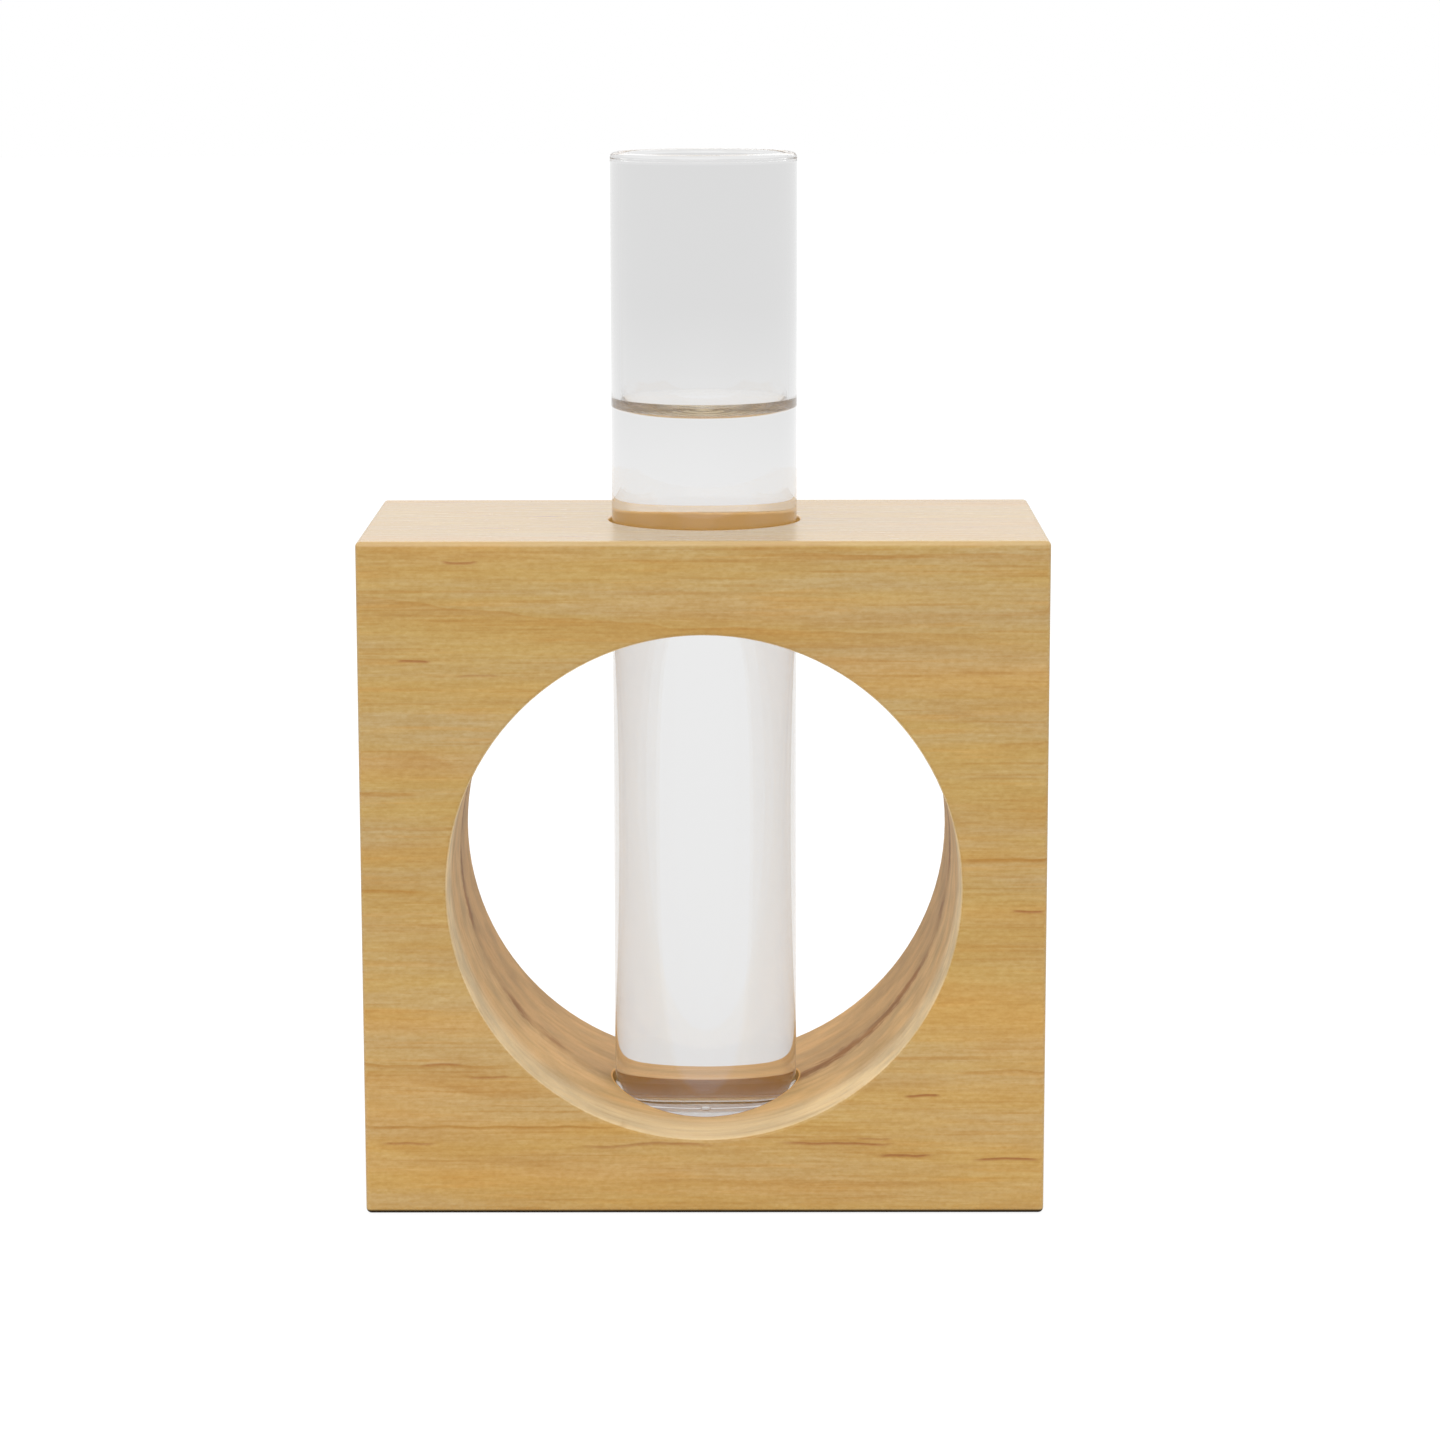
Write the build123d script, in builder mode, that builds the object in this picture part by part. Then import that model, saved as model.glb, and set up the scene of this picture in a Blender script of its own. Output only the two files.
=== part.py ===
"""Test tube vase: a block of wood with a round window, and a glass test tube of water that stands in it.

Millimetres, +Z up. The origin is the middle of the stand's underside, and the front faces -Y.
"""

import os

from build123d import *

os.makedirs("parts", exist_ok=True)

# Wooden stand, one solid block: its round window, and the wood that is left around it
window_diameter = 75.0
window_floor_thickness = 11.3
window_bar_thickness = 13.7
window_cheek_thickness = 12.5
stand_depth = 50.0
stand_edge_radius = 0.8
window_edge_radius = 0.6

# One drilling from the top face down into the window's floor, where it ends as a blind socket
socket_depth = 4.8
drilling_setback = 1.8
drilling_edge_radius = 0.4
drilling_overrun = 5.0

# Glass test tube
tube_diameter = 27.3
tube_length = 147.9
tube_wall = 1.2
tube_base_thickness = 3.0
tube_base_hollow = 0.25
tube_foot_width = 2.4
tube_heel_radius = 2.0
tube_bore_corner_radius = 3.0
tube_clearance = 0.65

# Fire-polished bead at the tube's mouth
rim_bead_diameter = 1.7
rim_bead_overhang = 0.2

# Small nub that is left in the middle of the tube's floor
nub_diameter = 1.2

# Water in the tube, measured down from the mouth
mouth_to_water = 38.6
meniscus_rise = 2.4
meniscus_reach = 4.7

# Heights and radii that follow from the sizes above
window_radius = window_diameter / 2
stand_width = window_diameter + 2 * window_cheek_thickness
stand_height = window_floor_thickness + window_diameter + window_bar_thickness
window_centre_height = window_floor_thickness + window_radius
socket_floor_height = window_floor_thickness - socket_depth
tube_radius = tube_diameter / 2
drilling_radius = tube_radius + tube_clearance
bore_radius = tube_radius - tube_wall
bore_floor_height = socket_floor_height + tube_base_thickness
foot_outer_radius = tube_radius - tube_heel_radius
foot_inner_radius = foot_outer_radius - tube_foot_width
rim_bead_radius = rim_bead_diameter / 2
tube_top_height = socket_floor_height + tube_length
rim_bead_height = tube_top_height - rim_bead_radius
rim_bead_centre_radius = tube_radius + rim_bead_overhang - rim_bead_radius
nub_radius = nub_diameter / 2
water_height = tube_top_height - mouth_to_water
meniscus_start_radius = bore_radius - meniscus_reach

# The tube's axis stands a little behind the middle of the block's depth
tube_axis = Axis((0, drilling_setback, 0), (0, 0, 1))
tube_section_plane = Plane(origin=(0, drilling_setback, 0), x_dir=(1, 0, 0), z_dir=(0, -1, 0))


# Wooden stand: the block, its softened edges, the window and the drilling
with BuildPart() as wooden_stand:
    with BuildSketch(Plane.XY):
        Rectangle(stand_width, stand_depth)
    extrude(amount=stand_height)
    fillet(wooden_stand.edges(), stand_edge_radius)

    with BuildSketch(Plane.XZ):
        with Locations((0, window_centre_height)):
            Circle(window_radius)
    extrude(amount=stand_depth, both=True, mode=Mode.SUBTRACT)
    window_edges = wooden_stand.edges(Select.LAST).filter_by(GeomType.CIRCLE)
    fillet(window_edges, window_edge_radius)

    with BuildSketch(Plane.XY.offset(socket_floor_height)):
        with Locations((0, drilling_setback)):
            Circle(drilling_radius)
    extrude(amount=stand_height - socket_floor_height + drilling_overrun, mode=Mode.SUBTRACT)
    drilling_edge = wooden_stand.edges(Select.LAST).filter_by(GeomType.CIRCLE).group_by(Axis.Z)[-1]
    fillet(drilling_edge, drilling_edge_radius)

wooden_stand.part.label = "wooden_stand"
export_step(wooden_stand.part, "parts/wooden_stand.step")


# Glass tube: its section is turned about the tube's axis, then the nub is added on its floor
with BuildPart() as glass_tube:
    with BuildSketch(tube_section_plane) as tube_section:
        with BuildLine():
            underside = Polyline(
                (0, socket_floor_height + tube_base_hollow),
                (foot_inner_radius, socket_floor_height + tube_base_hollow),
                (foot_inner_radius + tube_base_hollow, socket_floor_height),
                (tube_radius, socket_floor_height),
            )
            outside = Line(underside @ 1, (tube_radius, rim_bead_height))
            mouth = Line(outside @ 1, (bore_radius, rim_bead_height))
            bore = Line(mouth @ 1, (bore_radius, bore_floor_height))
            floor = Line(bore @ 1, (0, bore_floor_height))
            Line(floor @ 1, underside @ 0)
        make_face()
        heel = tube_section.vertices().sort_by_distance(underside @ 1)[0]
        fillet(heel, tube_heel_radius)
        bore_corner = tube_section.vertices().sort_by_distance(bore @ 1)[0]
        fillet(bore_corner, tube_bore_corner_radius)
        with Locations((rim_bead_centre_radius, rim_bead_height)):
            Circle(rim_bead_radius)
    revolve(axis=tube_axis)
    with Locations((0, drilling_setback, bore_floor_height)):
        Sphere(nub_radius)

glass_tube.part.label = "glass_tube"
export_step(glass_tube.part, "parts/glass_tube.step")


# Water: it lies against the bore, its floor and the nub, and climbs the glass as a meniscus
with BuildPart() as water:
    with BuildSketch(tube_section_plane) as water_section:
        with BuildLine():
            level = Line((0, water_height), (meniscus_start_radius, water_height))
            meniscus = TangentArc(level @ 1, (bore_radius, water_height + meniscus_rise), tangent=(1, 0))
            side = Line(meniscus @ 1, (bore_radius, bore_floor_height))
            bottom = Line(side @ 1, (0, bore_floor_height))
            Line(bottom @ 1, level @ 0)
        make_face()
        water_corner = water_section.vertices().sort_by_distance(side @ 1)[0]
        fillet(water_corner, tube_bore_corner_radius)
    revolve(axis=tube_axis)
    with Locations((0, drilling_setback, bore_floor_height)):
        Sphere(nub_radius, mode=Mode.SUBTRACT)

water.part.label = "water"
export_step(water.part, "parts/water.step")
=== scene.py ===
"""Dresses the test tube vase: an oiled wooden block with a round window, and a glass tube of water in it.

Blender works in metres. The sizes below are in millimetres, +Z is up, and the front faces -Y.
"""
import logging
import math
from dataclasses import dataclass, field
from enum import Enum
from typing import Any, Optional, Union

import bmesh
import bpy
from mathutils import Matrix, Vector


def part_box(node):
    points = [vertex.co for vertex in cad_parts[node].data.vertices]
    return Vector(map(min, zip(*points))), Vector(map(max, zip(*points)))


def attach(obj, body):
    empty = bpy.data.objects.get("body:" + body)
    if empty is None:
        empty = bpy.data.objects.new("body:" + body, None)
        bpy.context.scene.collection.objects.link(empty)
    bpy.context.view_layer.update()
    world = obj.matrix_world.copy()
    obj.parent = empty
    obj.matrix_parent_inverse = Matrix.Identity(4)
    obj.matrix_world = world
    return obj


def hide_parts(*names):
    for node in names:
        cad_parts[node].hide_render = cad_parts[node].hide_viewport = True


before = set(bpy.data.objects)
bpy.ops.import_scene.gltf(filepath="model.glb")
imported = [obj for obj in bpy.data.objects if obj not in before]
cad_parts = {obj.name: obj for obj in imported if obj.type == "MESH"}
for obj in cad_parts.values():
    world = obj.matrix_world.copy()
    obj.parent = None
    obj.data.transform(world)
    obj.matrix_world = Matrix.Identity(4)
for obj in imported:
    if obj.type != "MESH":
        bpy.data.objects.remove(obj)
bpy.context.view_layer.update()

log = logging.getLogger("test_tube_vase")

MM = 0.001
PHOTO_WIDTH = 1440

Tree = bpy.types.NodeTree
Node = bpy.types.Node

# The node types in use. Where a node has several inputs of one name, they go by number: a Math node's
# values are 0, 1 and 2. A Map Range node has its value at 0, the range that it comes from at 1 and 2, and
# the one that it goes to at 3 and 4. A Mix node has its share at 0 and its two colours at 6 and 7.
MATH = "ShaderNodeMath"
REMAP = "ShaderNodeMapRange"
MIX = "ShaderNodeMix"
MAPPING = "ShaderNodeMapping"
NOISE = "ShaderNodeTexNoise"
SPLIT = "ShaderNodeSeparateXYZ"
VECTOR_MATH = "ShaderNodeVectorMath"
BUMP = "ShaderNodeBump"
DIFFUSE = "ShaderNodeBsdfDiffuse"

# Settings that many nodes share
SMOOTH = {"interpolation_type": "SMOOTHSTEP"}
COLOUR = {"data_type": "RGBA"}
SHADED = {"data_type": "RGBA", "blend_type": "MULTIPLY"}


class Body(Enum):
    """The body that the new pieces ride on."""

    TUBE = "tube"


class CadNode(Enum):
    """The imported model's nodes, which are dressed or replaced."""

    WOODEN_STAND = "wooden_stand"
    GLASS_TUBE = "glass_tube"
    WATER = "water"


class Slot(Enum):
    """The record's material slots for the glass and the water; the new pieces' finishes are made here."""

    CLEAR_GLASS = "clear_glass"
    WATER = "water"


def linear(hex_colour: str) -> tuple[float, float, float, float]:
    """Turns an sRGB hex colour to linear light.

    Args:
        hex_colour: A colour such as "#C09A59".

    Returns:
        Red, green, blue and an alpha of 1.
    """
    parts = [int(hex_colour[i:i + 2], 16) / 255 for i in (1, 3, 5)]
    light = [p / 12.92 if p <= 0.04045 else ((p + 0.055) / 1.055) ** 2.4 for p in parts]
    return (*light, 1.0)


def grey(level: float) -> tuple[float, float, float, float]:
    """Gives a grey of a level in linear light, where 1 is white."""
    return (level, level, level, 1.0)


def first_output(value: Union[Node, bpy.types.NodeSocket]) -> bpy.types.NodeSocket:
    """Gives the output that is in use, of a node or of an output itself."""
    if isinstance(value, Node):
        return next(output for output in value.outputs if output.enabled)
    return value


def add_node(
    tree: Tree,
    kind: str,
    inputs: Optional[dict[Union[str, int], Any]] = None,
    **settings: Any,
) -> Node:
    """Adds one node with its settings, and fills or links its inputs.

    Args:
        tree: The tree that gets the node.
        kind: The node's type name.
        inputs: A value, or the node or output to link, for each input's name or number.
        **settings: The node's own settings.

    Returns:
        The new node.
    """
    node = tree.nodes.new(kind)
    for name, value in settings.items():
        setattr(node, name, value)
    for key, value in (inputs or {}).items():
        if isinstance(value, (Node, bpy.types.NodeSocket)):
            tree.links.new(first_output(value), node.inputs[key])
        else:
            node.inputs[key].default_value = value
    return node


def new_material(name: str) -> tuple[bpy.types.Material, Tree, Node]:
    """Makes a material with one Principled shader.

    Args:
        name: The material's name.

    Returns:
        The material, its tree and its shader.
    """
    material = bpy.data.materials.new(name)
    material.use_nodes = True
    return material, material.node_tree, material.node_tree.nodes["Principled BSDF"]


@dataclass(frozen=True)
class Fade:
    """How a value shows: as it goes from start to end, what shows goes from first to last."""

    start: float = 0.0
    end: float = 1.0
    first: float = 0.0
    last: float = 1.0

    def of(self, value: Any) -> dict[int, Any]:
        """Gives the inputs, by number, of the Map Range node that fades a value."""
        return {0: value, 1: self.start, 2: self.end, 3: self.first, 4: self.last}


@dataclass(frozen=True)
class Figure:
    """A pattern in the wood that is drawn out along the grain.

    Its length and width are in millimetres. The shift says where it is sampled, so that no two are alike,
    and the fade says how much of it shows.
    """

    length: float
    width: float
    detail: float = 1.0
    shift: float = 0.0
    fade: Fade = Fade()
    roughness: float = 0.55

    def noise(self, tree: Tree, place: Node) -> Node:
        """Adds the pattern itself.

        Args:
            tree: The material's tree.
            place: The place in millimetres.

        Returns:
            The pattern, whose value is about 0.5.
        """
        scale = (1 / self.length, 1 / self.width, 1 / self.width)
        shift = (self.shift, self.shift, self.shift)
        drawn = add_node(tree, MAPPING, {"Vector": place, "Location": shift, "Scale": scale})
        texture = {"Vector": drawn, "Scale": 1.0, "Detail": self.detail, "Roughness": self.roughness}
        return add_node(tree, NOISE, texture)

    def shown(self, tree: Tree, place: Node) -> Node:
        """Adds the pattern and fades it, which gives how much of it shows."""
        return add_node(tree, REMAP, self.fade.of(self.noise(tree, place)), **SMOOTH)


@dataclass(frozen=True)
class GrainMark:
    """A line of late growth or a short fleck on the front, which is sharp above and fades out below.

    Its places are in millimetres. A mark with a lift climbs by that much towards the upper left.
    """

    height: float
    start: float
    end: float
    strength: float
    width: float = 0.45
    lift: float = 0.0


@dataclass(frozen=True)
class WoodPoint:
    """The nodes that say where a point of the wood is.

    The place is in millimetres, the sides are its X, Y and Z, and the normal is the way its surface
    faces. The window and the drilling are 1 on the wood that they lay bare, and 0 elsewhere.
    """

    tree: Tree
    place: Node
    sides: Any
    normal: bpy.types.NodeSocket
    window: Node
    drilling: Node


@dataclass(frozen=True)
class OiledWood:
    """Light hardwood, sawn with its face to the bark, sanded fine and wiped with a clear satin oil.

    The grain runs along X. The oil makes it honey coloured and gives it a soft sheen, which turns into a
    pale reflection where the eye meets it at a low angle. End grain drinks more oil, so it is darker, and
    the cut window keeps its raw, pinkish cream. Places and lengths are in millimetres.
    """

    # Colours, from the oiled faces to the cuts, and the painted light and shade in the cuts and on the edges
    honey: str = "#BD9B56"
    beige: str = "#B99C68"
    amber: str = "#C79546"
    latewood: str = "#AB761C"
    fleck: str = "#94500E"
    raw: str = "#E8C086"
    raw_front_painted_light: str = "#FDE5B8"
    red_streak: str = "#985C10"
    drilled_with_painted_light: str = "#FCC26C"
    socket_wall_painted_shade: str = "#B06E22"
    socket_floor_painted_light: str = "#FFE7B4"
    painted_edge_highlight: str = "#E6C794"

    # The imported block's own sizes, and how far into the wood the look of each cut reaches
    half_width: float = 50.0
    half_depth: float = 25.0
    window_height: float = 48.8
    window_radius: float = 37.5
    window_skin: tuple[float, float] = (0.02, 0.25)
    drilling_setback: float = 1.8
    drilling_radius: float = 14.3
    drilling_skin: tuple[float, float] = (0.1, 0.35)
    socket_top: float = 11.3

    # Growth rings, counted from the tree's heart far behind the block
    pith_depth: float = 130.0
    pith_height: float = 49.0
    pith_lean: float = 0.03
    ring_pitch: float = 2.35
    ring_phase: float = 0.96
    ring_wander: Figure = Figure(60, 30, shift=3.1)
    ring_wander_reach: float = 3.0
    ring_ripple: Figure = Figure(12, 5, detail=2.0, shift=11.7)
    ring_ripple_reach: float = 0.35
    late_growth: Fade = Fade(0.30, 0.96)
    winter: Fade = Fade(0.97, 1.0, 1.0, 0.0)
    ring_strength: Figure = Figure(26, 5, shift=17.3, fade=Fade(0.42, 0.68, 0.12, 1.0))

    # Bands, tints and threads of colour along the grain, and the foot of the block, warmer in tone and
    # lighter with painted light
    bands: Figure = Figure(60, 4.0, detail=3.0, fade=Fade(0.34, 0.68))
    warmth: Figure = Figure(70, 7.0, shift=7.3, fade=Fade(0.46, 0.75, 0.0, 0.42))
    tints: Figure = Figure(22, 1.2, detail=2.0, shift=5.9, fade=Fade(0.50, 0.80, 0.0, 0.45))
    threads: Figure = Figure(24, 0.55, shift=67.0, fade=Fade(0.56, 0.74, 0.0, 0.34))
    foot: Fade = Fade(5.0, 60.0, 1.0, 0.0)
    foot_warmth: float = 0.20
    foot_painted_light: float = 0.09

    # The window's raw wood, the painted light that turns it cream towards its open front, and the red streak
    # that leans back as it rises
    raw_share: float = 0.85
    front_light: Fade = Fade(-20.0, -11.0, 1.0, 0.0)
    streak_place: float = -3.0
    streak_lean: float = 0.23
    streak_wander: float = 5.0
    streak_core: Fade = Fade(0.3, 4.0, 0.90, 0.0)
    streak_behind: Fade = Fade(-6.0, 3.0, 0.0, 0.24)
    streak_patches: Figure = Figure(34, 9, shift=41.0, fade=Fade(0.38, 0.60, 0.35, 1.0))
    window_clouds: Figure = Figure(45, 5.5, detail=2.0, shift=53.0, fade=Fade(0.35, 0.65, 0.84, 1.12))

    # What shows on the oiled faces, which comes first, and in the window, which comes last
    streak_shown: Fade = Fade(first=0.15, last=1.0)
    rings_shown: Fade = Fade(first=0.30, last=0.20)
    grain_shown: Fade = Fade(first=1.0, last=0.35)
    shine: Fade = Fade(first=0.5, last=0.15)

    # Marks on the front, and the flecks that are scattered over the other faces
    mark_wander: Figure = Figure(9, 40, detail=2.0, shift=29.0)
    mark_wander_reach: float = 1.6
    mark_climb: float = 3.0
    mark_edge: float = 0.22
    mark_core: float = 0.55
    mark_depth: float = 6.0
    scattered: Figure = Figure(8.5, 0.62, detail=0.0, shift=2.2, fade=Fade(0.77, 0.87, 0.0, 0.7))
    behind_front: Fade = Fade(-24.5, -23.5)
    growth_lines: tuple[GrainMark, ...] = (
        GrainMark(86.6, -56, 56, 0.34, 4.5, 5.9),
        GrainMark(86.6, -56, 20, 0.46, 0.9, 5.9),
        GrainMark(98.0, 5, 56, 0.45, 0.9),
        GrainMark(53.4, 36, 56, 0.80, 0.7),
        GrainMark(62.4, -56, -40, 0.50, 0.9, 0.8),
        GrainMark(48.7, -56, -39, 0.65, 0.6),
        GrainMark(22.4, -56, -26, 0.60, 0.8, 0.4),
        GrainMark(13.4, -56, -8, 0.70, 0.6),
        GrainMark(21.5, 35, 56, 0.55, 0.7),
        GrainMark(70.5, 40, 56, 0.35, 1.6),
        GrainMark(5.0, -20, 45, 0.30, 1.4),
    )
    flecks: tuple[GrainMark, ...] = (
        GrainMark(22.8, -42, -35, 0.50, 0.4),
        GrainMark(21.0, -35, -28, 0.45, 0.4),
        GrainMark(11.6, 22, 28, 0.45, 0.4),
        GrainMark(80.4, -36, -29, 0.35, 0.4),
        GrainMark(97.1, -38, -32, 0.65),
        GrainMark(82.7, -44.5, -39, 0.70),
        GrainMark(45.8, 44.5, 50, 0.75),
        GrainMark(18.0, 29, 35, 0.80),
        GrainMark(10.8, 10, 29, 0.70, 0.5),
        GrainMark(9.1, 25, 34, 0.75),
        GrainMark(8.3, 39, 50, 0.80, 0.5),
        GrainMark(10.9, -48, -39, 0.55),
        GrainMark(10.6, -20, 3, 0.50, 0.6),
    )

    # Fibres, and the pores between them, in a golden and a silvery shade. Real ones are under 0.1 mm wide,
    # and are drawn 0.4 mm wide so that they show.
    fibres: Figure = Figure(6.0, 0.40, detail=2.0)
    pores: Figure = Figure(0.8, 0.40, detail=2.0, shift=23.0)
    golden: tuple[float, float, float, float] = (0.94, 0.89, 0.76, 1.0)
    silvery: tuple[float, float, float, float] = (1.05, 1.08, 1.16, 1.0)
    grain_contrast: Fade = Fade(0.3, 0.7)
    end_grain: Fade = Fade(0.45, 1.0, 1.0, 0.86)

    # The drilling in fresh wood brightened with painted light, the painted shade low in its socket, and the
    # socket's floor in painted light
    drilled_share: float = 0.9
    socket_shade_fade: float = 2.0
    socket_bottom: Fade = Fade(6.6, 7.0, 1.0, 0.0)

    # The painted highlight on the top front edge, by its height and its depth, and the painted shade along
    # the bottom edge
    edge_highlight_height: Fade = Fade(99.1, 99.7, 0.0, 0.45)
    edge_highlight_depth: Fade = Fade(-24.6, -24.1, 1.0, 0.0)
    bottom_edge_shade: Fade = Fade(0.40, 0.78, 0.05, 1.0)

    # Gloss and relief
    ior: float = 1.5
    satin: Fade = Fade(0.25, 0.75, 0.20, 0.28)
    raw_roughness: float = 0.60
    fibre_relief: float = 0.02
    pore_relief: float = 0.6

    def cuts(self, tree: Tree, place: Node) -> list[Node]:
        """Finds the wood that the round window and the drilling lay bare.

        Args:
            tree: The material's tree.
            place: The place in millimetres.

        Returns:
            1 in the window, and 1 in the drilling.
        """
        window_middle = (0.0, 0.0, -self.window_height)
        drilling_middle = (0.0, -self.drilling_setback, 0.0)
        found = []
        for middle, across, radius, skin in (
            (window_middle, (1.0, 0.0, 1.0), self.window_radius, self.window_skin),
            (drilling_middle, (1.0, 1.0, 0.0), self.drilling_radius, self.drilling_skin),
        ):
            flat = add_node(tree, MAPPING, {"Vector": place, "Location": middle, "Scale": across})
            reach = add_node(tree, VECTOR_MATH, {0: flat}, operation="LENGTH")
            ending = Fade(radius + skin[0], radius + skin[1], 1.0, 0.0)
            found.append(add_node(tree, REMAP, ending.of(reach), **SMOOTH))
        return found

    def banded(self, point: WoodPoint, tints: Node) -> Node:
        """Colours the oiled faces in bands, tints and threads, and lightens the foot with painted light.

        Args:
            point: Where the wood is.
            tints: The noise of the tints.

        Returns:
            The colour.
        """
        tree, place = point.tree, point.place
        bands = self.bands.shown(tree, place)
        colour = add_node(tree, MIX, {0: bands, 6: linear(self.honey), 7: linear(self.beige)}, **COLOUR)
        warm = self.warmth.shown(tree, place)
        low = add_node(tree, REMAP, self.foot.of(point.sides[2]), **SMOOTH)
        warm = add_node(tree, MATH, {0: low, 1: self.foot_warmth, 2: warm}, operation="MULTIPLY_ADD")
        tinted = add_node(tree, REMAP, self.tints.fade.of(tints), **SMOOTH)
        threads = self.threads.shown(tree, place)
        for share, tone in ((warm, self.amber), (tinted, self.amber), (threads, self.latewood)):
            colour = add_node(tree, MIX, {0: share, 6: colour, 7: linear(tone)}, **COLOUR)
        # Painted light: the block is lighter towards its foot
        light = add_node(tree, MATH, {0: low, 1: self.foot_painted_light, 2: 1.0}, operation="MULTIPLY_ADD")
        return add_node(tree, MIX, {0: 1.0, 6: colour, 7: light}, **SHADED)

    def raw_window(self, point: WoodPoint, colour: Node, tints: Node) -> Node:
        """Colours the window, which holds less oil: pinkish behind, cream at its front where painted light
        lifts it, and streaked red.

        Args:
            point: Where the wood is.
            colour: The wood's colour so far.
            tints: The noise of the tints, by which the streak wanders.

        Returns:
            The new colour.
        """
        tree, (_, depth, height) = point.tree, point.sides
        bare = add_node(tree, MATH, {0: point.window, 1: self.raw_share}, operation="MULTIPLY")
        # Painted light: the raw wood turns cream towards the window's open front
        front_light = add_node(tree, REMAP, self.front_light.of(depth), **SMOOTH)
        raw = add_node(tree, MIX, {0: front_light, 6: linear(self.raw), 7: linear(self.raw_front_painted_light)}, **COLOUR)
        colour = add_node(tree, MIX, {0: bare, 6: colour, 7: raw}, **COLOUR)

        lean = add_node(tree, MATH, {0: height, 1: -self.streak_lean, 2: depth}, operation="MULTIPLY_ADD")
        lean = add_node(tree, MATH, {0: tints, 1: self.streak_wander, 2: lean}, operation="MULTIPLY_ADD")
        place = self.streak_place + self.streak_wander / 2
        away = add_node(tree, MATH, {0: lean, 1: place}, operation="SUBTRACT")
        behind = add_node(tree, REMAP, self.streak_behind.of(away), **SMOOTH)
        away = add_node(tree, MATH, {0: away}, operation="ABSOLUTE")
        red = add_node(tree, REMAP, self.streak_core.of(away), **SMOOTH)
        patches = self.streak_patches.shown(tree, point.place)
        red = add_node(tree, MATH, {0: red, 1: patches}, operation="MULTIPLY")
        red = add_node(tree, MATH, {0: red, 1: behind}, operation="MAXIMUM")
        shown = add_node(tree, REMAP, self.streak_shown.of(point.window))
        red = add_node(tree, MATH, {0: red, 1: shown}, operation="MULTIPLY")
        colour = add_node(tree, MIX, {0: red, 6: colour, 7: linear(self.red_streak)}, **COLOUR)

        clouds = self.window_clouds.noise(tree, point.place)
        clouds = add_node(tree, REMAP, self.window_clouds.fade.of(clouds))
        clouds = add_node(tree, MIX, {0: point.window, 6: grey(1.0), 7: clouds}, **COLOUR)
        return add_node(tree, MIX, {0: 1.0, 6: colour, 7: clouds}, **SHADED)

    def rings(self, point: WoodPoint) -> Node:
        """Adds the growth rings, by how far the place is from the tree's heart far behind the block.

        Args:
            point: Where the wood is.

        Returns:
            How much late growth shows.
        """
        tree, (side, depth, height) = point.tree, point.sides
        wander = self.ring_wander.noise(tree, point.place)
        ripple = self.ring_ripple.noise(tree, point.place)
        behind = add_node(tree, MATH, {0: depth, 1: self.pith_depth}, operation="SUBTRACT")
        lean = add_node(tree, MATH, {0: side, 1: self.pith_lean, 2: height}, operation="MULTIPLY_ADD")
        above = add_node(tree, MATH, {0: lean, 1: self.pith_height}, operation="SUBTRACT")
        square = add_node(tree, MATH, {0: above, 1: above}, operation="MULTIPLY")
        both = add_node(tree, MATH, {0: behind, 1: behind, 2: square}, operation="MULTIPLY_ADD")
        reach = add_node(tree, MATH, {0: both}, operation="SQRT")
        for noise, most in ((wander, self.ring_wander_reach), (ripple, self.ring_ripple_reach)):
            reach = add_node(tree, MATH, {0: noise, 1: most, 2: reach}, operation="MULTIPLY_ADD")
        counted = {0: reach, 1: 1 / self.ring_pitch, 2: self.ring_phase}
        years = add_node(tree, MATH, counted, operation="MULTIPLY_ADD")
        season = add_node(tree, MATH, {0: years}, operation="FRACT")
        grown = add_node(tree, REMAP, self.late_growth.of(season), **SMOOTH)
        ended = add_node(tree, REMAP, self.winter.of(season), **SMOOTH)
        ring = add_node(tree, MATH, {0: grown, 1: ended}, operation="MULTIPLY")
        strength = self.ring_strength.shown(tree, point.place)
        return add_node(tree, MATH, {0: ring, 1: strength}, operation="MULTIPLY")

    def marks(self, point: WoodPoint, marks: tuple[GrainMark, ...], height: Node) -> Node:
        """Adds the lines or flecks that show on the front.

        Args:
            point: Where the wood is.
            marks: The marks.
            height: The height that wanders a little with the grain.

        Returns:
            How much of the marks shows.
        """
        tree, side = point.tree, point.sides[0]
        leftness = add_node(tree, REMAP, Fade(-self.half_width, self.half_width, 1.0, 0.0).of(side))
        climb = add_node(tree, MATH, {0: leftness, 1: self.mark_climb}, operation="POWER")
        shown = None
        for mark in marks:
            level = add_node(tree, MATH, {0: climb, 1: -mark.lift, 2: height}, operation="MULTIPLY_ADD")
            fading = Fade(mark.height - mark.width, mark.height, 0.0, mark.strength)
            below = add_node(tree, REMAP, fading.of(level), **SMOOTH)
            sharp = Fade(mark.height, mark.height + self.mark_edge, 1.0, 0.0)
            above = add_node(tree, REMAP, sharp.of(level), **SMOOTH)
            middle, half = (mark.start + mark.end) / 2, (mark.end - mark.start) / 2
            away = add_node(tree, MATH, {0: side, 1: middle}, operation="SUBTRACT")
            away = add_node(tree, MATH, {0: away}, operation="ABSOLUTE")
            along = add_node(tree, REMAP, Fade(half * self.mark_core, half, 1.0, 0.0).of(away), **SMOOTH)
            line = add_node(tree, MATH, {0: below, 1: above}, operation="MULTIPLY")
            line = add_node(tree, MATH, {0: line, 1: along}, operation="MULTIPLY")
            if shown is None:
                shown = line
            else:
                shown = add_node(tree, MATH, {0: shown, 1: line}, operation="MAXIMUM")
        near_front = Fade(-self.half_depth, self.mark_depth - self.half_depth, 1.0, 0.0)
        near_front = add_node(tree, REMAP, near_front.of(point.sides[1]), **SMOOTH)
        return add_node(tree, MATH, {0: shown, 1: near_front}, operation="MULTIPLY")

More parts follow.
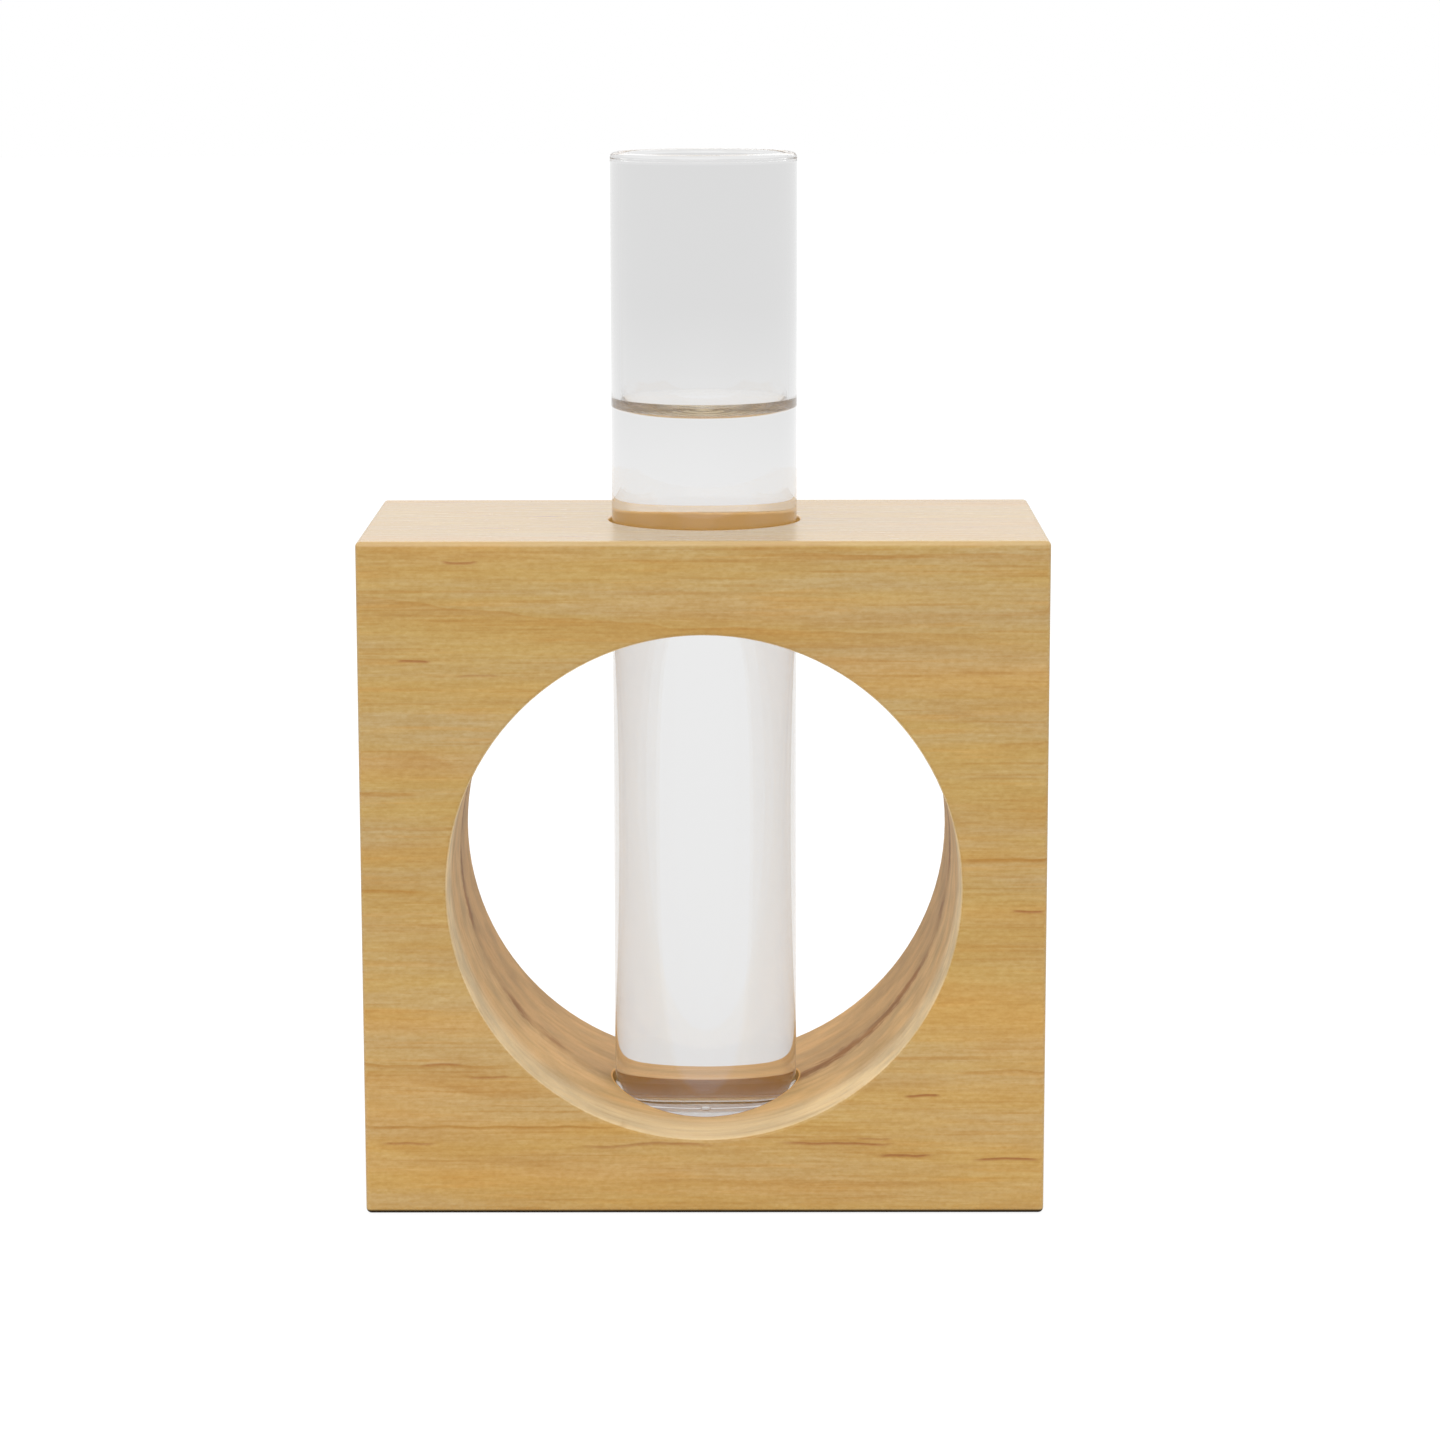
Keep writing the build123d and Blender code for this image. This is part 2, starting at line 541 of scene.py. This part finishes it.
    def marked(self, point: WoodPoint, colour: Node) -> Node:
        """Adds the rings, the marks on the front and the flecks that are scattered over the other faces.

        Args:
            point: Where the wood is.
            colour: The wood's colour so far.

        Returns:
            The new colour.
        """
        tree = point.tree
        shown = add_node(tree, REMAP, self.rings_shown.of(point.window))
        rings = add_node(tree, MATH, {0: self.rings(point), 1: shown}, operation="MULTIPLY")
        height = {0: self.mark_wander.noise(tree, point.place), 1: self.mark_wander_reach, 2: point.sides[2]}
        height = add_node(tree, MATH, height, operation="MULTIPLY_ADD")
        height = add_node(tree, MATH, {0: height, 1: self.mark_wander_reach / 2}, operation="SUBTRACT")
        lines = self.marks(point, self.growth_lines, height)
        scattered = self.scattered.shown(tree, point.place)
        behind = add_node(tree, REMAP, self.behind_front.of(point.sides[1]))
        outside = add_node(tree, MATH, {0: behind, 1: point.window}, operation="SUBTRACT", use_clamp=True)
        scattered = add_node(tree, MATH, {0: scattered, 1: outside}, operation="MULTIPLY")
        flecks = self.marks(point, self.flecks, height)
        flecks = add_node(tree, MATH, {0: flecks, 1: scattered}, operation="MAXIMUM")
        for share, tone in ((rings, self.latewood), (lines, self.latewood), (flecks, self.fleck)):
            colour = add_node(tree, MIX, {0: share, 6: colour, 7: linear(tone)}, **COLOUR)
        return colour

    def grained(self, point: WoodPoint, colour: Node, fibres: Node, pores: Node) -> Node:
        """Adds the fine light and dark of the fibres and pores, and darkens the end grain.

        Args:
            point: Where the wood is.
            colour: The wood's colour so far.
            fibres: The noise of the fibres.
            pores: The noise of the pores.

        Returns:
            The new colour.
        """
        tree = point.tree
        shown = add_node(tree, REMAP, self.grain_shown.of(point.window))
        for value in (fibres, pores):
            share = add_node(tree, REMAP, self.grain_contrast.of(value))
            shade = add_node(tree, MIX, {0: share, 6: self.golden, 7: self.silvery}, **COLOUR)
            colour = add_node(tree, MIX, {0: shown, 6: colour, 7: shade}, **SHADED)

        # End grain faces along X, on the block's two sides and at the left and right of the window
        facing = add_node(tree, SPLIT, {0: point.normal})
        facing = add_node(tree, MATH, {0: facing}, operation="ABSOLUTE")
        darkened = add_node(tree, REMAP, self.end_grain.of(facing), **SMOOTH)
        return add_node(tree, MIX, {0: 1.0, 6: colour, 7: darkened}, **SHADED)

    def bored(self, point: WoodPoint, colour: Node) -> Node:
        """Colours the drilling: fresh orange wood brightened with painted light, with painted shade low in
        the socket and painted light on its floor.

        Args:
            point: Where the wood is.
            colour: The wood's colour so far.

        Returns:
            The new colour.
        """
        tree, height = point.tree, point.sides[2]
        # Painted shade darkens the drilling low in the socket, and painted light makes the socket's floor
        # pale
        shade_ending = Fade(self.socket_top, self.socket_top + self.socket_shade_fade)
        above_shade = add_node(tree, REMAP, shade_ending.of(height), **SMOOTH)
        bored = add_node(tree, MIX, {0: above_shade, 6: linear(self.socket_wall_painted_shade), 7: linear(self.drilled_with_painted_light)}, **COLOUR)
        under = add_node(tree, REMAP, self.socket_bottom.of(height))
        bored = add_node(tree, MIX, {0: under, 6: bored, 7: linear(self.socket_floor_painted_light)}, **COLOUR)
        share = add_node(tree, MATH, {0: point.drilling, 1: self.drilled_share}, operation="MULTIPLY")
        return add_node(tree, MIX, {0: share, 6: colour, 7: bored}, **COLOUR)

    def edge_light_and_shade(self, point: WoodPoint, colour: Node, bottom: Node) -> Node:
        """Paints a highlight on the top front edge, and paints shade that darkens the bottom edge.

        Args:
            point: Where the wood is.
            colour: The wood's colour so far.
            bottom: How light the bottom edge is under its painted shade.

        Returns:
            The new colour.
        """
        tree, (_, depth, height) = point.tree, point.sides
        # Painted highlight: the rounded top front edge is paler, by its height and its depth
        near_top = add_node(tree, REMAP, self.edge_highlight_height.of(height), **SMOOTH)
        near_face = add_node(tree, REMAP, self.edge_highlight_depth.of(depth), **SMOOTH)
        edge = add_node(tree, MATH, {0: near_top, 1: near_face}, operation="MULTIPLY")
        colour = add_node(tree, MIX, {0: edge, 6: colour, 7: linear(self.painted_edge_highlight)}, **COLOUR)
        # Painted shade darkens the bottom edge
        return add_node(tree, MIX, {0: 1.0, 6: colour, 7: bottom}, **SHADED)

    def make(self) -> bpy.types.Material:
        """Builds the material.

        Returns:
            The finished material.
        """
        material, tree, shader = new_material("oiled_wood_sanded")
        coords = add_node(tree, "ShaderNodeTexCoord").outputs
        place = add_node(tree, MAPPING, {"Vector": coords["Object"], "Scale": (1 / MM, 1 / MM, 1 / MM)})
        sides = add_node(tree, SPLIT, {0: place}).outputs
        point = WoodPoint(tree, place, sides, coords["Normal"], *self.cuts(tree, place))
        tints = self.tints.noise(tree, place)
        fibres = self.fibres.noise(tree, place)
        pores = self.pores.noise(tree, place)
        # How light the bottom edge is under its painted shade
        bottom = add_node(tree, REMAP, self.bottom_edge_shade.of(sides[2]), **SMOOTH)

        colour = self.banded(point, tints)
        colour = self.raw_window(point, colour, tints)
        colour = self.marked(point, colour)
        colour = self.grained(point, colour, fibres, pores)
        colour = self.bored(point, colour)
        colour = self.edge_light_and_shade(point, colour, bottom)

        relief = add_node(tree, MATH, {0: pores, 1: self.pore_relief, 2: fibres}, operation="MULTIPLY_ADD")
        bump = add_node(tree, BUMP, {"Strength": 1.0, "Distance": self.fibre_relief * MM, "Height": relief})
        satin = add_node(tree, REMAP, self.satin.of(fibres))
        rough = add_node(tree, MATH, {0: point.window, 1: self.raw_roughness}, operation="MULTIPLY")
        rough = add_node(tree, MATH, {0: satin, 1: rough}, operation="MAXIMUM")
        # Bare wood shines less than the oiled faces, and the painted shade on the bottom edge takes its
        # shine away too
        shine = add_node(tree, REMAP, self.shine.of(point.window))
        shine = add_node(tree, MATH, {0: shine, 1: bottom}, operation="MULTIPLY")
        finish = {"Base Color": colour, "Roughness": rough, "Specular IOR Level": shine, "Normal": bump}
        for socket, value in finish.items():
            tree.links.new(first_output(value), shader.inputs[socket])
        shader.inputs["IOR"].default_value = self.ior
        return material


@dataclass(frozen=True)
class ClearFinish:
    """A finish that is clear right through, with nothing of its own to tint or blur what is behind it."""

    name: str
    ior: float
    body: str = "#FFFFFF"
    roughness: float = 0.0

    def make(self) -> bpy.types.Material:
        """Builds the material.

        Returns:
            The finished material.
        """
        material, _, shader = new_material(self.name)
        shader.inputs["Base Color"].default_value = linear(self.body)
        shader.inputs["Transmission Weight"].default_value = 1.0
        shader.inputs["Roughness"].default_value = self.roughness
        shader.inputs["IOR"].default_value = self.ior
        return material


@dataclass(frozen=True)
class ClearGlass(ClearFinish):
    """Borosilicate tube glass, drawn, cut and flame polished.

    It is clear and smooth, so it shows by the sharp reflections on it and by the bright band that it bends
    down each side. The faint grey inside it is the backdrop behind it, and no tint of its own.
    """

    name: str = "clear_glass_flame_polished"
    ior: float = 1.47


@dataclass(frozen=True)
class TapWater(ClearFinish):
    """Still tap water: clear and smooth, so it shows by what it bends and by the line at its top."""

    name: str = "tap_water"
    ior: float = 1.333


@dataclass
class Section:
    """Half of a turned form's section, as points of radius and height in millimetres.

    It runs from the axis round the form and back to the axis. Arcs have a point every few degrees, and a
    run longer than the long run gets a supporting point near each end.
    """

    points: list[tuple[float, float]] = field(default_factory=list)
    arc_step: float = 6.0
    least_steps: int = 4
    least_gap: float = 0.0001
    support: float = 0.15
    long_run: float = 1.5

    def to(self, radius: float, height: float) -> "Section":
        """Adds a straight run to a radius and a height, and gives the section itself."""
        self.points.append((radius, height))
        return self

    def arc(self, radius: float, height: float, bend: float, start: float, end: float) -> "Section":
        """Adds an arc.

        Args:
            radius: Its centre, from the axis.
            height: Its centre, above the floor.
            bend: Its own radius.
            start: Its first angle in degrees, where 0 points away from the axis and 90 points up.
            end: Its last angle.

        Returns:
            The section itself.
        """
        steps = max(self.least_steps, math.ceil(abs(end - start) / self.arc_step))
        for i in range(steps + 1):
            turn = math.radians(start + (end - start) * i / steps)
            point = (radius + bend * math.cos(turn), height + bend * math.sin(turn))
            if not self.points or math.dist(point, self.points[-1]) > self.least_gap:
                self.points.append(point)
        return self

    def supported(self) -> list[tuple[float, float]]:
        """Adds a point near each end of every long run, so that its smooth shading stays straight.

        Returns:
            All the points.
        """
        made = self.points[:1]
        for first, last in zip(self.points, self.points[1:]):
            length = math.dist(first, last)
            if length > self.long_run:
                share = self.support / length
                for part in (share, 1 - share):
                    made.append(tuple(a + (b - a) * part for a, b in zip(first, last)))
            made.append(last)
        return made


@dataclass(frozen=True)
class TurningTree:
    """The Geometry Nodes tree that turns a section about an upright axis.

    The path's radius and the welding distance are in millimetres, and the sharp angle is in degrees.
    """

    name: str = "turned_form"
    path_radius: float = 20.0
    segments: int = 192
    weld: float = 0.001
    sharp_angle: float = 30.0

    def make(self) -> Tree:
        """Builds the tree, with named inputs for its sizes and its finish.

        Returns:
            The tree.
        """
        tree = bpy.data.node_groups.new(self.name, "GeometryNodeTree")
        for name, kind in (
            ("Section", "NodeSocketGeometry"),
            ("Path Radius", "NodeSocketFloat"),
            ("Segments", "NodeSocketInt"),
            ("Axis Place", "NodeSocketVector"),
            ("Weld Distance", "NodeSocketFloat"),
            ("Finish", "NodeSocketMaterial"),
        ):
            tree.interface.new_socket(name, in_out="INPUT", socket_type=kind)
        tree.interface.new_socket("Geometry", in_out="OUTPUT", socket_type="NodeSocketGeometry")
        given = add_node(tree, "NodeGroupInput").outputs
        outline = add_node(tree, "GeometryNodeMeshToCurve", {"Mesh": given["Section"]}).outputs[0]
        circle = {"Resolution": given["Segments"], "Radius": given["Path Radius"]}
        path = add_node(tree, "GeometryNodeCurvePrimitiveCircle", circle, mode="RADIUS").outputs[0]
        upright = add_node(tree, "GeometryNodeSetCurveNormal", {"Curve": path}, mode="Z_UP").outputs[0]
        turned = {"Curve": upright, "Profile Curve": outline}
        form = add_node(tree, "GeometryNodeCurveToMesh", turned).outputs[0]
        for kind, inputs in (
            ("GeometryNodeMergeByDistance", {"Distance": given["Weld Distance"]}),
            ("GeometryNodeTransform", {"Translation": given["Axis Place"]}),
            ("GeometryNodeSetShadeSmooth", {}),
            ("GeometryNodeRealizeInstances", {}),
            ("GeometryNodeSetMaterial", {"Material": given["Finish"]}),
        ):
            form = add_node(tree, kind, {"Geometry": form, **inputs}).outputs[0]
        add_node(tree, "NodeGroupOutput", {"Geometry": form})
        return tree

    def turn(
        self, name: str, section: Section, setback: float, finish: bpy.types.Material
    ) -> bpy.types.Object:
        """Turns a section into a closed, smooth mesh.

        Args:
            name: The new piece's name.
            section: The form's section.
            setback: How far behind the middle the axis stands, in millimetres.
            finish: The piece's material.

        Returns:
            The finished piece, with its place in its mesh.
        """
        # The section hangs on a circular path, so its points are measured inwards from it and downwards
        points = section.supported()
        outline = bpy.data.meshes.new(name + "_section")
        outline.from_pydata(
            [((r - self.path_radius) * MM, -z * MM, 0.0) for r, z in points],
            [(i, i + 1) for i in range(len(points) - 1)],
            [],
        )
        piece = bpy.data.objects.new(name, outline)
        bpy.context.scene.collection.objects.link(piece)
        tree = bpy.data.node_groups.get(self.name) or self.make()
        modifier = piece.modifiers.new("turning", "NODES")
        modifier.node_group = tree
        values = {
            "Path Radius": self.path_radius * MM,
            "Segments": self.segments,
            "Axis Place": (0.0, setback * MM, 0.0),
            "Weld Distance": self.weld * MM,
            "Finish": finish,
        }
        for socket in tree.interface.items_tree:
            if socket.in_out == "INPUT" and socket.name in values:
                modifier[socket.identifier] = values[socket.name]
        ready = piece.evaluated_get(bpy.context.evaluated_depsgraph_get())
        mesh = bpy.data.meshes.new_from_object(ready)
        piece.modifiers.remove(modifier)
        piece.data = mesh
        mesh.name = name
        bpy.data.meshes.remove(outline)
        self.face_outwards(mesh)
        return piece

    def face_outwards(self, mesh: bpy.types.Mesh) -> None:
        """Points the faces outwards, and keeps the form's corners sharp.

        Args:
            mesh: The turned mesh.
        """
        shell = bmesh.new()
        shell.from_mesh(mesh)
        bmesh.ops.recalc_face_normals(shell, faces=shell.faces)
        if shell.calc_volume(signed=True) < 0:
            bmesh.ops.reverse_faces(shell, faces=shell.faces)
        open_edges = sum(not edge.is_manifold for edge in shell.edges)
        log.info("%s: %d faces, %d open edges", mesh.name, len(shell.faces), open_edges)
        shell.to_mesh(mesh)
        shell.free()
        mesh.shade_smooth()
        mesh.set_sharp_from_angle(angle=math.radians(self.sharp_angle))


@dataclass
class WoodenStand:
    """The block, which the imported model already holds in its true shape: it only gets its finish."""

    finish: OiledWood = OiledWood()

    def build(self) -> bpy.types.Object:
        """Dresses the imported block.

        Returns:
            The block's object.
        """
        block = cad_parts[CadNode.WOODEN_STAND.value]
        finish = self.finish.make()
        for slot in block.material_slots:
            slot.material = finish
        log.info("%s: dressed in %s", block.name, finish.name)
        return block


@dataclass
class GlassTube:
    """The test tube: a flat foot, a thick base, a straight wall and a mouth that the flame has rounded.

    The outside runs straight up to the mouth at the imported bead's full width, and the bore is the packed
    one, so the wall is thicker by the bead's overhang.
    """

    wall: float = 1.4
    base_thickness: float = 3.0
    base_hollow: float = 0.25
    foot_width: float = 2.4
    heel_radius: float = 2.0
    bore_corner_radius: float = 3.0
    mouth_outer_radius: float = 0.8
    mouth_inner_radius: float = 0.7
    mouth_blend: float = 1.6
    nub_radius: float = 0.6
    finish: ClearGlass = ClearGlass()

    def __post_init__(self) -> None:
        """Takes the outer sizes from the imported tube."""
        low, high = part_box(CadNode.GLASS_TUBE.value)
        self.foot = low[2] / MM
        self.top = high[2] / MM
        self.radius = (high[0] - low[0]) / 2 / MM
        self.setback = (high[1] + low[1]) / 2 / MM

    @property
    def bore(self) -> float:
        """The bore's radius."""
        return self.radius - self.wall

    @property
    def floor(self) -> float:
        """The height of the bore's floor."""
        return self.foot + self.base_thickness

    def section(self) -> Section:
        """Draws the tube's section, from the foot up the outside, round the mouth and down the bore.

        Returns:
            The section.
        """
        # The foot is a flat ring round a shallow hollow
        outer_foot = self.radius - self.heel_radius
        inner_foot = outer_foot - self.foot_width
        drawn = Section()
        drawn.to(0.0, self.foot + self.base_hollow).to(inner_foot, self.foot + self.base_hollow)
        drawn.to(inner_foot + self.base_hollow, self.foot)
        drawn.arc(outer_foot, self.foot + self.heel_radius, self.heel_radius, -90, 0)

        # The flame has rounded the mouth, and the glass has gathered inwards and runs out into the bore
        crown = self.radius - self.mouth_outer_radius
        inner_height = self.top - self.mouth_inner_radius
        gap = crown - (self.bore - self.mouth_blend)
        reach = self.mouth_inner_radius + self.mouth_blend
        drop = math.sqrt(reach ** 2 - gap ** 2)
        turn = math.degrees(math.atan2(drop, gap))
        drawn.arc(crown, self.top - self.mouth_outer_radius, self.mouth_outer_radius, 0, 90)
        drawn.arc(crown, inner_height, self.mouth_inner_radius, 90, 180 + turn)
        drawn.arc(self.bore - self.mouth_blend, inner_height - drop, self.mouth_blend, turn, 0)

        # The bore, its floor and the small nub in the middle
        corner = self.bore_corner_radius
        drawn.arc(self.bore - corner, self.floor + corner, corner, 0, -90)
        drawn.to(self.nub_radius, self.floor)
        drawn.arc(0.0, self.floor, self.nub_radius, 0, 90)
        return drawn

    def build(self, turning: TurningTree) -> bpy.types.Object:
        """Turns the tube and places it on its body.

        Args:
            turning: The tree that turns sections.

        Returns:
            The tube.
        """
        piece = turning.turn("test_tube", self.section(), self.setback, self.finish.make())
        # It casts no shadow of its own, so that the lamps light the wood in the hole and in the socket
        piece.visible_shadow = False
        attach(piece, Body.TUBE.value)
        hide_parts(CadNode.GLASS_TUBE.value)
        return piece


@dataclass
class TubeWater:
    """The water in the tube, which climbs the glass at its top by its rise, over its reach from the wall."""

    tube: GlassTube
    level: float = 115.8
    rise: float = 2.4
    reach: float = 4.7
    wetting: float = 0.05
    finish: TapWater = TapWater()

    def section(self) -> Section:
        """Draws the water's section, from its floor up the bore and over the meniscus.

        The water reaches a hair into the glass, so that no film of air shows between the two.

        Returns:
            The section.
        """
        side = self.tube.bore + self.wetting
        bottom = self.tube.floor - self.wetting
        corner = self.tube.bore_corner_radius + self.wetting
        drawn = Section()
        nub = self.tube.nub_radius - self.wetting
        drawn.arc(0.0, self.tube.floor, nub, 90, 0).to(nub, bottom)
        drawn.arc(side - corner, bottom + corner, corner, -90, 0)

        # The meniscus leaves the level surface smoothly and ends at the glass
        bend = (self.reach ** 2 + self.rise ** 2) / (2 * self.rise)
        last = math.degrees(math.asin(self.reach / bend))
        drawn.to(side, self.level + self.rise)
        drawn.arc(self.tube.bore - self.reach, self.level + bend, bend, last - 90, -90)
        drawn.to(0.0, self.level)
        return drawn

    def build(self, turning: TurningTree) -> bpy.types.Object:
        """Turns the water and places it on the tube's body.

        Args:
            turning: The tree that turns sections.

        Returns:
            The water.
        """
        piece = turning.turn("tube_water", self.section(), self.tube.setback, self.finish.make())
        # It casts no shadow of its own, so that the lamps light the wood in the hole and in the socket
        piece.visible_shadow = False
        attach(piece, Body.TUBE.value)
        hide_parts(CadNode.WATER.value)
        return piece


@dataclass(frozen=True)
class Lamp:
    """A soft square lamp that shines on the vase, with its place and its width in metres."""

    name: str
    place: tuple[float, float, float]
    width: float
    level: float

    def build(self, target: Vector) -> bpy.types.Object:
        """Hangs the lamp.

        Args:
            target: What it shines on.

        Returns:
            The lamp.
        """
        light = bpy.data.lights.new(self.name, "AREA")
        light.shape = "SQUARE"
        light.size = self.width
        away = Vector(self.place) - target
        # A white card at the target, square to the lamp, shows the lamp's level
        light.energy = self.level * math.pi ** 2 * away.length ** 2
        lamp = bpy.data.objects.new(self.name, light)
        lamp.location = self.place
        lamp.rotation_euler = away.to_track_quat("Z", "Y").to_euler()
        # Seen through the glass, the lamp would be a white patch
        lamp.visible_transmission = False
        bpy.context.scene.collection.objects.link(lamp)
        return lamp


@dataclass
class Studio:
    """A white tent: an even white surround, soft lamps, a pale floor and the camera.

    Lengths are in metres, apart from the camera's place, and the camera's turns are in radians.
    """

    surround: float = 0.84
    backdrop_through_glass: float = 0.735
    least_seen: float = 0.001

    # The floor: the white that it lights the vase with, the glow and the share of shadow that the eye
    # sees, and its level through glass, near and far
    floor_radius: float = 4.0
    floor_sides: int = 96
    floor_drop: float = 0.00002
    floor_bounce: float = 0.80
    floor_glow: float = 0.86
    floor_shadow: float = 0.22
    floor_through_glass: Fade = Fade(0.7, 1.4, 0.730, 0.668)
    lamps: tuple[Lamp, ...] = (
        Lamp("lamp_key", (-0.20, -1.25, 0.85), 1.25, 0.235),
        Lamp("lamp_left", (-1.20, -0.30, 0.60), 0.9, 0.08),
        Lamp("lamp_right", (1.20, -0.30, 0.60), 0.9, 0.08),
        Lamp("lamp_back", (0.10, 1.00, 0.90), 1.25, 0.31),
    )
    lamp_target: tuple[float, float, float] = (0.0, 0.0, 0.06)

    # The camera that was fitted to the photograph, with its place in millimetres
    camera_place: tuple[float, float, float] = (4.746, -612.98, 177.65)
    camera_yaw: float = -0.004
    camera_pitch: float = 0.1745
    camera_roll: float = -0.0019
    focal_pixels: float = 4131.7
    sensor_width: float = 36.0
    sight: tuple[float, float] = (0.05, 50.0)

    # Light runs down the wet wall by many inner reflections before it reaches the wood
    bounces: int = 300

    def seen_level(self, tree: Tree, through_glass: Any) -> Node:
        """Says how white the surround shows to each kind of ray.

        The eye and the reflections see pure white. Through glass it shows a shade greyer, as the lit
        backdrop does in the photograph beside the burnt-out white round it.

        Args:
            tree: The tree that gets the nodes.
            through_glass: The level that shows through glass, as a number or a node.

        Returns:
            The level, and 0 for a ray that only lights the object.
        """
        rays = add_node(tree, "ShaderNodeLightPath").outputs
        camera, gloss, through = (rays["Is %s Ray" % kind] for kind in ("Camera", "Glossy", "Transmission"))
        white = add_node(tree, MATH, {0: camera, 1: gloss}, operation="MAXIMUM")
        seen = add_node(tree, MATH, {0: white, 1: through}, operation="MAXIMUM")
        less = add_node(tree, MATH, {0: through_glass, 1: 1.0}, operation="SUBTRACT")
        return add_node(tree, MATH, {0: through, 1: less, 2: seen}, operation="MULTIPLY_ADD")

    def build_surround(self) -> None:
        """Makes the white surround, which lights the object less than it shows."""
        world = bpy.data.worlds.new("white_tent")
        bpy.context.scene.world = world
        world.use_nodes = True
        tree = world.node_tree
        shader = tree.nodes["Background"]
        shader.inputs["Color"].default_value = grey(1.0)
        seen = self.seen_level(tree, self.backdrop_through_glass)
        unseen = add_node(tree, MATH, {0: seen, 1: self.least_seen}, operation="LESS_THAN")
        strength = add_node(tree, MATH, {0: unseen, 1: self.surround, 2: seen}, operation="MULTIPLY_ADD")
        tree.links.new(first_output(strength), shader.inputs["Strength"])

    def build_floor(self) -> bpy.types.Object:
        """Lays the pale floor, which keeps the object's soft shadow.

        Returns:
            The floor.
        """
        mesh = bpy.data.meshes.new("studio_floor")
        disc = bmesh.new()
        bmesh.ops.create_circle(disc, cap_ends=True, radius=self.floor_radius, segments=self.floor_sides)
        disc.to_mesh(mesh)
        disc.free()
        floor = bpy.data.objects.new("studio_floor", mesh)
        bpy.context.scene.collection.objects.link(floor)
        floor.location.z = -self.floor_drop
        material = bpy.data.materials.new("white_floor")
        material.use_nodes = True
        tree = material.node_tree
        tree.nodes.clear()
        bounce = add_node(tree, DIFFUSE, {"Color": grey(self.floor_bounce)})
        coords = add_node(tree, "ShaderNodeTexCoord").outputs
        away = add_node(tree, VECTOR_MATH, {0: coords["Object"]}, operation="LENGTH")
        through_glass = add_node(tree, REMAP, self.floor_through_glass.of(away), **SMOOTH)
        seen = self.seen_level(tree, through_glass)
        shown = add_node(tree, MATH, {0: seen, 1: 0.0}, operation="GREATER_THAN")
        tones = {0: seen, 6: grey(0.0), 7: grey(self.floor_shadow)}
        shadowed = add_node(tree, DIFFUSE, {"Color": add_node(tree, MIX, tones, **COLOUR)})
        level = add_node(tree, MATH, {0: seen, 1: self.floor_glow}, operation="MULTIPLY")
        glow = add_node(tree, "ShaderNodeEmission", {"Color": grey(1.0), "Strength": level})
        white = add_node(tree, "ShaderNodeAddShader", {0: shadowed, 1: glow})
        mixed = add_node(tree, "ShaderNodeMixShader", {0: shown, 1: bounce, 2: white})
        add_node(tree, "ShaderNodeOutputMaterial", {"Surface": mixed})
        mesh.materials.append(material)
        return floor

    def build_camera(self) -> bpy.types.Object:
        """Sets up the camera where the photograph was taken from.

        Returns:
            The camera.
        """
        yaw, pitch, roll = self.camera_yaw, self.camera_pitch, self.camera_roll
        ahead = Vector((math.sin(yaw) * math.cos(pitch), math.cos(yaw) * math.cos(pitch), -math.sin(pitch)))
        level = Vector((math.cos(yaw), -math.sin(yaw), 0.0))
        upward = level.cross(ahead)
        right = level * math.cos(roll) + upward * math.sin(roll)
        up = upward * math.cos(roll) - level * math.sin(roll)
        lens = bpy.data.cameras.new("photo_camera")
        lens.sensor_width = self.sensor_width
        lens.lens = self.sensor_width * self.focal_pixels / PHOTO_WIDTH
        lens.clip_start, lens.clip_end = self.sight
        camera = bpy.data.objects.new("photo_camera", lens)
        turned = Matrix((right, up, -ahead)).transposed().to_4x4()
        turned.translation = Vector(self.camera_place) * MM
        camera.matrix_world = turned
        bpy.context.scene.collection.objects.link(camera)
        bpy.context.scene.camera = camera
        return camera

    def build(self) -> None:
        """Builds the whole studio."""
        bpy.context.scene.view_settings.view_transform = "Standard"
        cycles = bpy.context.scene.cycles
        cycles.max_bounces = cycles.transmission_bounces = cycles.glossy_bounces = self.bounces
        self.build_surround()
        self.build_floor()
        self.build_camera()
        for lamp in self.lamps:
            lamp.build(Vector(self.lamp_target))


def main() -> None:
    """Builds the vase and its studio, in order."""
    logging.basicConfig(level=logging.INFO, format="%(name)s: %(message)s")
    WoodenStand().build()
    turning = TurningTree()
    tube = GlassTube()
    tube.build(turning)
    TubeWater(tube).build(turning)
    Studio().build()


if __name__ == "__main__":
    main()
